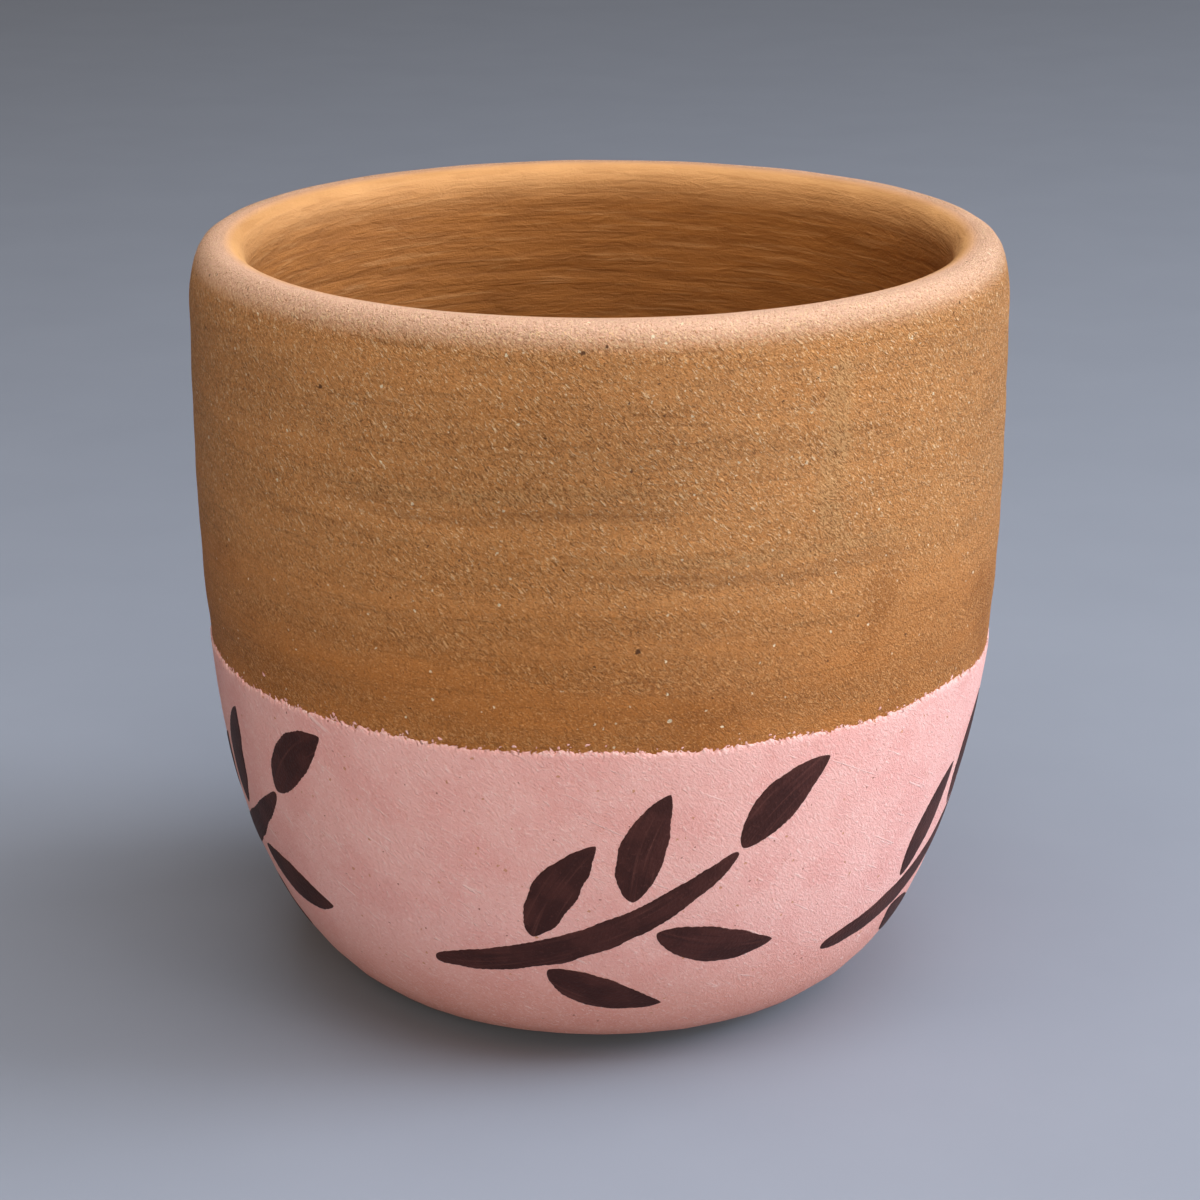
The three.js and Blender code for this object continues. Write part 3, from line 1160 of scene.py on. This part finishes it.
@dataclass(frozen=True)
class BrushPath:
    """A bowed path of the brush on the flattened band, x to the right round the cup and y up from its edge.

    It is a quadratic Bezier curve from start over a length along a direction, whose middle is pulled to the
    left by twice the bow.
    """

    start: Array
    direction: Array
    length: float
    bow: float

    def at(self, share: Array | float) -> tuple[Array, Array]:
        """Gives points on the path and the way it heads there.

        Args:
            share: shares of the path, from 0 to 1.

        Returns:
            Points and unit headings, each with a last axis of two.
        """
        share = np.asarray(share, float)[..., None]
        left = np.array([-self.direction[1], self.direction[0]])
        pull = self.start + self.direction * self.length / 2 + left * 2 * self.bow
        end = self.start + self.direction * self.length
        point = (1 - share) ** 2 * self.start + 2 * share * (1 - share) * pull + share**2 * end
        heading = 2 * (1 - share) * (pull - self.start) + 2 * share * (end - pull)
        return point, heading / np.linalg.norm(heading, axis=-1, keepdims=True)


@dataclass(frozen=True)
class Touch:
    """How the brush is pressed along a stroke."""

    width: float  # millimetres, at the widest
    lead: float  # below 1, it is pressed hardest before the middle
    blunt: float  # the smaller, the blunter the ends
    stations: int


@dataclass(frozen=True)
class Brushwork:
    """The painted sprigs: a bowed stem, leaves in pairs along it and a leaf at its tip, in millimetres."""

    wall: Wall
    coat: SlipCoat
    finish: DarkSlip
    sprig_count: int = 5
    front: float = -90.0  # degrees
    sprig_turn: float = 5.0  # degrees
    sprig_gap: float = 6.3
    sprig_drop: float = 17.0
    stem_lean: float = 25.0  # degrees
    stem_bow: float = 3.0
    leaf_pairs: tuple[str, ...] = ("upper", "lower")
    leaf_spacing: float = 12.0
    leaf_length: float = 13.5
    leaf_angle: float = 44.0  # degrees
    leaf_bow: float = 0.9
    stroke_gap: float = 0.7
    drift_up: float = 1.0
    drift_around: float = 1.5
    drift_angle: float = 4.0  # degrees
    sprig_phase: float = 2.4
    habit_phase: float = 1.7
    stem_touch: Touch = Touch(width=3.8, lead=0.8, blunt=0.42, stations=240)
    leaf_touch: Touch = Touch(width=5.0, lead=0.85, blunt=0.72, stations=120)
    sides: int = 32
    paint_thickness: float = 0.1
    paint_sunk: float = 0.08  # how far its back lies under the face of the coat
    dome: float = 0.6  # the smaller, the flatter the top of the paint
    wobble: float = 0.055
    nick: float = 0.035
    edge_zone: Span = (0.1, 0.6)  # shares of the width where wobble and nicks start and are full
    streak_step: float = 10.0  # between one stroke's streaks and the next's in their pattern
    first_seed: int = 30

    @cached_property
    def stem_length(self) -> float:
        """The length that is left for a stem between one sprig and the next."""
        radius, _ = self.wall.band.at(self.wall.band_length - self.sprig_drop)
        pitch = TAU * float(radius) / self.sprig_count
        sprig = (pitch - self.sprig_gap) / math.cos(math.radians(self.stem_lean))
        return sprig - self.stroke_gap - self.leaf_length

    def drift(self, sprig: int, habit: Habit) -> float:
        """Gives a number from -1 to 1 for one habit of the hand on one sprig."""
        return math.sin(self.sprig_phase * sprig + self.habit_phase * habit.value)

    def strokes(self, sprig: int) -> Iterator[tuple[str, BrushPath, Touch]]:
        """Gives the strokes of one sprig.

        Args:
            sprig: the place of the sprig, from 0.

        Yields:
            Each stroke's name, path and touch.
        """
        lean = math.radians(self.stem_lean + self.drift_angle * self.drift(sprig, Habit.LEAN))
        direction = np.array([math.cos(lean), math.sin(lean)])
        height = self.wall.band_length - self.sprig_drop + self.drift_up * self.drift(sprig, Habit.UP)
        middle = np.array([self.drift_around * self.drift(sprig, Habit.AROUND), height])
        whole = self.stem_length + self.stroke_gap + self.leaf_length
        stem = BrushPath(middle - direction * whole / 2, direction, self.stem_length, -self.stem_bow)
        yield "stem", stem, self.stem_touch
        end, heading = stem.at(1)
        tip = BrushPath(end + heading * self.stroke_gap, heading, self.leaf_length, self.leaf_bow)
        yield "tip_leaf", tip, self.leaf_touch
        for place, pair in enumerate(self.leaf_pairs):
            root, along = stem.at(1 - (place + 1) * self.leaf_spacing / self.stem_length)
            for side in Side:
                turn = side.value * math.radians(self.leaf_angle)
                aside = side.value * np.array([-along[1], along[0]])
                start = root + aside * (self.stem_touch.width / 2 + self.stroke_gap)
                spin = np.array([[math.cos(turn), -math.sin(turn)], [math.sin(turn), math.cos(turn)]])
                leaf = BrushPath(start, spin @ along, self.leaf_length, side.value * self.leaf_bow)
                yield f"{pair}_{side.name.lower()}_leaf", leaf, self.leaf_touch

    def build_stroke(self, name: str, path: BrushPath, touch: Touch, angle: float, seed: int) -> Object:
        """Lays one stroke on the coat.

        Across it, each ring runs over the domed paint and back under the face of the coat. Its half width
        is a sine of the way along, blunted to a power, with a slow wobble and small nicks at each edge.

        Args:
            name: the piece's name.
            path: the middle of the stroke.
            touch: how the brush is pressed.
            angle: the angle round the cup at which the path's x is zero.
            seed: what makes this stroke's edges its own.

        Returns:
            The stroke.
        """
        along = (1 - np.cos(math.pi * (np.arange(touch.stations) + 0.5) / touch.stations)) / 2
        along = along[:, None]
        turn = turn_round(self.sides)[None, :]
        swell = np.sin(math.pi * along**touch.lead) ** touch.blunt
        way = along * path.length
        edges = []
        for side in (1, 2):
            slow = Waves(seed=seed * 4 + side, turns=(0, 0), lengths=(2.5, 10)).at(0, way)
            quick = Waves(seed=seed * 4 + side + 2, turns=(0, 0), lengths=(0.5, 1.3)).at(0, way)
            edges.append(self.wobble * slow - self.nick * np.tanh(quick))
        lead = -np.cos(turn)
        edge = np.where(lead > 0, edges[0], edges[1]) * smooth(swell, *self.edge_zone)
        aside = lead * (touch.width / 2 * swell + edge)
        dome = np.abs(np.sin(turn)) ** self.dome
        top = self.paint_thickness * dome * np.sqrt(swell)
        rise = np.where(np.sin(turn) > 0, top, -self.paint_sunk * dome)
        middle, heading = path.at(along)
        arc = middle[..., 1] + heading[..., 0] * aside
        base, _ = self.wall.band.at(arc)
        reach = angle + (middle[..., 0] - heading[..., 1] * aside) / base
        radius, height = self.wall.band.at(arc, self.coat.thickness + rise)
        brush = np.stack(np.broadcast_arrays(aside, way, self.streak_step * seed), axis=-1) * MM
        return ring_mesh(name, self.wall.by_hand(radius, reach, height), Ends.POLES, {"brush": brush})

    def build(self) -> dict[str, Object]:
        """Paints all the sprigs.

        Returns:
            The strokes, by the names of the CAD nodes that they stand for.
        """
        made = {}
        for sprig in range(self.sprig_count):
            angle = math.radians(self.front + self.sprig_turn + 360 / self.sprig_count * sprig)
            for name, path, touch in self.strokes(sprig):
                node = f"sprig_{sprig + 1}_{name}"
                seed = self.first_seed + len(made)
                made[node] = self.build_stroke(f"brushed_{node}", path, touch, angle, seed)
        return made

    def dress(self, strokes: dict[str, Object]) -> None:
        """Gives the strokes their dark slip and lets each stand for its CAD node.

        Args:
            strokes: the strokes, by the names of their CAD nodes.
        """
        material = self.finish.material()
        for node, stroke in strokes.items():
            show(stroke, material, Slot.DARK_SLIP, node)


@dataclass(frozen=True)
class Lamp:
    """A square soft box: where it stands round the cup and how bright it is."""

    name: str
    azimuth: float  # degrees round to the right from the camera's side
    elevation: float  # degrees
    distance: float  # metres
    size: float  # metres
    power: float  # watts
    colour: str
    aim: float = 0.04  # metres above the floor

    def place(self) -> None:
        """Sets up the lamp, turned to the cup."""
        data = bpy.data.lights.new(self.name, "AREA")
        data.size = self.size
        data.energy = self.power
        data.color = linear(self.colour)[:3]
        lamp = bpy.data.objects.new(self.name, data)
        turn, rise = math.radians(self.azimuth), math.radians(self.elevation)
        away = Vector((math.sin(turn) * math.cos(rise), -math.cos(turn) * math.cos(rise), math.sin(rise)))
        lamp.location = Vector((0, 0, self.aim)) + away * self.distance
        lamp.rotation_euler = away.to_track_quat("Z", "Y").to_euler()
        bpy.context.scene.collection.objects.link(lamp)


@dataclass(frozen=True)
class Studio:
    """A pale paper floor, soft boxes and the camera at the photograph's angle."""

    paper: str = "#8e95a3"
    paper_shade: str = "#888f9d"
    air: str = "#ffe8cc"
    air_strength: float = 0.16
    paper_mottle: float = 25.0  # millimetres
    paper_roughness: float = 0.9
    floor_reach: float = 3.0  # metres
    floor_depth: float = 0.01  # metres
    floor_hub: float = 0.05  # share of the reach
    floor_rings: int = 12
    floor_sides: int = 64
    camera_place: tuple[float, float, float] = (0.00004, -0.3709, 0.16324)  # metres
    camera_pitch: float = 72.01  # degrees up from straight down
    lens: float = 103.0  # millimetres
    sensor: float = 36.0  # millimetres
    nearest: float = 0.01  # metres that the camera sees from
    # Each lamp's name, azimuth, elevation, distance, size, power and colour
    lamps: tuple[Lamp, ...] = (
        Lamp("key_soft_box", 98, 35, 2.2, 1.5, 16.5, "#eff6ff"),
        Lamp("right_soft_box", 90, 20, 1.2, 0.6, 12.0, "#eff6ff"),
        Lamp("front_soft_box", 10, 14, 1.2, 0.5, 6.6, "#fff7ea"),
        Lamp("near_top_soft_box", 0, 75, 0.45, 0.35, 1.35, "#fbfcff"),
        Lamp("high_soft_box", 60, 65, 0.6, 0.45, 0.9, "#fbfcff"),
        Lamp("left_soft_box", -75, 20, 1.2, 0.6, 1.2, "#ffddb8"),
    )

    def build(self) -> None:
        """Lays the floor, hangs the lamps and sets up the world and the camera."""
        scene = bpy.context.scene
        scene.view_settings.view_transform = "Standard"
        turn = turn_round(self.floor_sides)[None, :]
        reach = np.linspace(self.floor_hub, 1, self.floor_rings) * self.floor_reach / MM
        reach = np.concatenate([reach, reach[::-1]])[:, None]
        height = np.repeat([-self.floor_depth / MM, 0], len(reach) // 2)[:, None]
        rings = np.stack(np.broadcast_arrays(reach * np.cos(turn), reach * np.sin(turn), height), axis=-1)
        floor = ring_mesh("studio_floor", rings, Ends.POLES)
        floor.data.materials.append(self.paper_material())
        world = bpy.data.worlds.new("studio_air")
        world.use_nodes = True
        air = world.node_tree.nodes["Background"]
        air.inputs["Color"].default_value = linear(self.air)
        air.inputs["Strength"].default_value = self.air_strength
        scene.world = world
        for lamp in self.lamps:
            lamp.place()
        data = bpy.data.cameras.new("studio_camera")
        data.lens = self.lens
        data.sensor_width = self.sensor
        data.clip_start = self.nearest
        camera = bpy.data.objects.new("studio_camera", data)
        camera.location = self.camera_place
        camera.rotation_euler = (math.radians(self.camera_pitch), 0, 0)
        scene.collection.objects.link(camera)
        scene.camera = camera

    def paper_material(self) -> Material:
        """Makes matt backdrop paper: pale grey with a faint mottle.

        Returns:
            The finished material.
        """
        material = bpy.data.materials.new("matt_backdrop_paper")
        material.use_nodes = True
        tree = material.node_tree
        shader = tree.nodes["Principled BSDF"]
        place = add_node(tree, "TexCoord").outputs["Object"]
        mottle = add_node(tree, "TexNoise", {"Vector": place, "Scale": per(self.paper_mottle), "Detail": 4})
        colours = {"Factor": mottle, "A": linear(self.paper_shade), "B": linear(self.paper)}
        mixed = add_node(tree, "Mix", colours, data_type="RGBA")
        tree.links.new(mixed.outputs["Result"], shader.inputs["Base Color"])
        shader.inputs["Roughness"].default_value = self.paper_roughness
        return material


def main() -> None:
    """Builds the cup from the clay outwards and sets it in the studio."""
    logging.basicConfig(level=logging.INFO, format="%(name)s: %(message)s")
    wall = Wall.from_frame()
    clay = FiredEarthenware(pocks=wall.outside_spots(DARK_POCKS), chips=wall.outside_spots(PALE_CHIPS))
    body = ClayBody(wall, clay)
    body.dress(body.build())
    coat = SlipCoat(wall, PinkSlip())
    coat.dress(*coat.build())
    brushwork = Brushwork(wall, coat, DarkSlip())
    brushwork.dress(brushwork.build())
    Studio().build()


if __name__ == "__main__":
    main()
